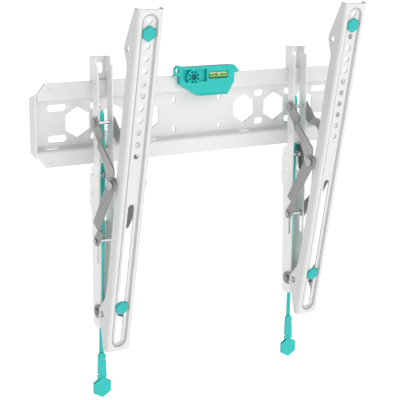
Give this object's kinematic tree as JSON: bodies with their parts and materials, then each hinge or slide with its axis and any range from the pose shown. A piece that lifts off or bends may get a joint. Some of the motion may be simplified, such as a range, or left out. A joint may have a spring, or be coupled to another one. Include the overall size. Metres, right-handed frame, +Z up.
{
  "type": "tilting tv wall bracket",
  "caption": "White steel rail plate with hexagon openings that carries folding, tilting screen arms on hangers with pull-strap latches and a clip-on spirit level.",
  "frame": {"origin": "on the wall, behind the centre of the plate", "axes": "+X along the wall, -Y out of the wall, +Z up"},
  "size_m": [0.478, 0.1431, 0.5058],
  "materials": {
    "white_coat": "satin powder coat",
    "grey_paint": "satin",
    "bright_steel": "polished",
    "pin_steel": "satin",
    "teal_plastic": "satin",
    "vial": "clear",
    "bubble": "clear",
    "magnet": "satin",
    "latch_steel": "dark zinc"
  },
  "bodies": {
    "plate": {"wall_plate": "white_coat", "level_body": "teal_plastic", "level_vial": "vial", "level_bubble": "bubble", "level_magnet": "magnet"},
    "hanger_left": {"hanger_left": "white_coat", "upper_pin_left": "bright_steel", "foot_pin_left": "pin_steel", "latch_pin_left": "bright_steel", "latch_spring_left": "bright_steel"},
    "upper_links_left": {"upper_link_outer_left": "grey_paint", "upper_link_inner_left": "grey_paint", "mid_rivets_left": "pin_steel"},
    "lower_links_left": {"lower_link_outer_left": "grey_paint", "lower_link_inner_left": "grey_paint", "slide_pin_left": "bright_steel"},
    "arm_left": {"arm_left": "white_coat", "knob_upper_left": "teal_plastic", "knob_lower_left": "teal_plastic"},
    "foot_links_left": {"foot_link_outer_left": "grey_paint", "foot_link_inner_left": "grey_paint", "foot_rivets_left": "pin_steel"},
    "latch_left": {"latch_left": "latch_steel"},
    "strap_left": {"pull_strap_left": "teal_plastic"},
    "hanger_right": {"hanger_right": "white_coat", "upper_pin_right": "bright_steel", "foot_pin_right": "pin_steel", "latch_pin_right": "bright_steel", "latch_spring_right": "bright_steel"},
    "upper_links_right": {"upper_link_outer_right": "grey_paint", "upper_link_inner_right": "grey_paint", "mid_rivets_right": "pin_steel"},
    "lower_links_right": {"lower_link_outer_right": "grey_paint", "lower_link_inner_right": "grey_paint", "slide_pin_right": "bright_steel"},
    "arm_right": {"arm_right": "white_coat", "knob_upper_right": "teal_plastic", "knob_lower_right": "teal_plastic"},
    "foot_links_right": {"foot_link_outer_right": "grey_paint", "foot_link_inner_right": "grey_paint", "foot_rivets_right": "pin_steel"},
    "latch_right": {"latch_right": "latch_steel"},
    "strap_right": {"pull_strap_right": "teal_plastic"}
  },
  "joints": [
    {"name": "hanger_slide_left", "type": "slide", "parent": "plate", "child": "hanger_left", "axis": [1, 0, 0], "range_m": [-0.05, 0.05]},
    {"name": "fold_left", "type": "hinge", "parent": "hanger_left", "child": "upper_links_left", "pos_m": [-0.15, -0.024, 0], "axis": [1, 0, 0], "range_deg": [0, 16]},
    {"name": "lower_link_turn_left", "type": "hinge", "parent": "upper_links_left", "child": "lower_links_left", "pos_m": [-0.15, -0.0807, -0.0672], "axis": [1, 0, 0], "range_deg": [-30, 0]},
    {"name": "arm_tilt_left", "type": "hinge", "parent": "upper_links_left", "child": "arm_left", "pos_m": [-0.15, -0.0807, -0.0672], "axis": [1, 0, 0], "range_deg": [-22, 0]},
    {"name": "foot_link_turn_left", "type": "hinge", "parent": "hanger_left", "child": "foot_links_left", "pos_m": [-0.15, -0.024, -0.2415], "axis": [1, 0, 0], "range_deg": [0, 48]},
    {"name": "latch_turn_left", "type": "hinge", "parent": "hanger_left", "child": "latch_left", "pos_m": [-0.15, -0.0255, -0.066], "axis": [-1, 0, 0], "range_deg": [0, 27], "stiffness_Nm_per_rad": 0.05, "springref_deg": -8.59},
    {"name": "strap_pull_left", "type": "slide", "parent": "hanger_left", "child": "strap_left", "axis": [0, 0, -1], "range_m": [0, 0.00345]},
    {"name": "hanger_slide_right", "type": "slide", "parent": "plate", "child": "hanger_right", "axis": [1, 0, 0], "range_m": [-0.05, 0.05]},
    {"name": "fold_right", "type": "hinge", "parent": "hanger_right", "child": "upper_links_right", "pos_m": [0.15, -0.024, 0], "axis": [1, 0, 0], "range_deg": [0, 16]},
    {"name": "lower_link_turn_right", "type": "hinge", "parent": "upper_links_right", "child": "lower_links_right", "pos_m": [0.15, -0.0807, -0.0672], "axis": [1, 0, 0], "range_deg": [-30, 0]},
    {"name": "arm_tilt_right", "type": "hinge", "parent": "upper_links_right", "child": "arm_right", "pos_m": [0.15, -0.0807, -0.0672], "axis": [1, 0, 0], "range_deg": [-22, 0]},
    {"name": "foot_link_turn_right", "type": "hinge", "parent": "hanger_right", "child": "foot_links_right", "pos_m": [0.15, -0.024, -0.2415], "axis": [1, 0, 0], "range_deg": [0, 48]},
    {"name": "latch_turn_right", "type": "hinge", "parent": "hanger_right", "child": "latch_right", "pos_m": [0.15, -0.0255, -0.066], "axis": [-1, 0, 0], "range_deg": [0, 27], "stiffness_Nm_per_rad": 0.05, "springref_deg": -8.59},
    {"name": "strap_pull_right", "type": "slide", "parent": "hanger_right", "child": "strap_right", "axis": [0, 0, -1], "range_m": [0, 0.00345]}
  ],
  "couplings": [
    {"joint": "lower_link_turn_left", "follows": "fold_left", "ratio": -1.8415},
    {"joint": "arm_tilt_left", "follows": "fold_left", "ratio": -1.355},
    {"joint": "foot_link_turn_left", "follows": "fold_left", "ratio": 2.9745},
    {"joint": "latch_turn_left", "follows": "strap_pull_left", "rad_per_m": 131.58},
    {"joint": "lower_link_turn_right", "follows": "fold_right", "ratio": -1.8415},
    {"joint": "arm_tilt_right", "follows": "fold_right", "ratio": -1.355},
    {"joint": "foot_link_turn_right", "follows": "fold_right", "ratio": 2.9745},
    {"joint": "latch_turn_right", "follows": "strap_pull_right", "rad_per_m": 131.58}
  ]
}
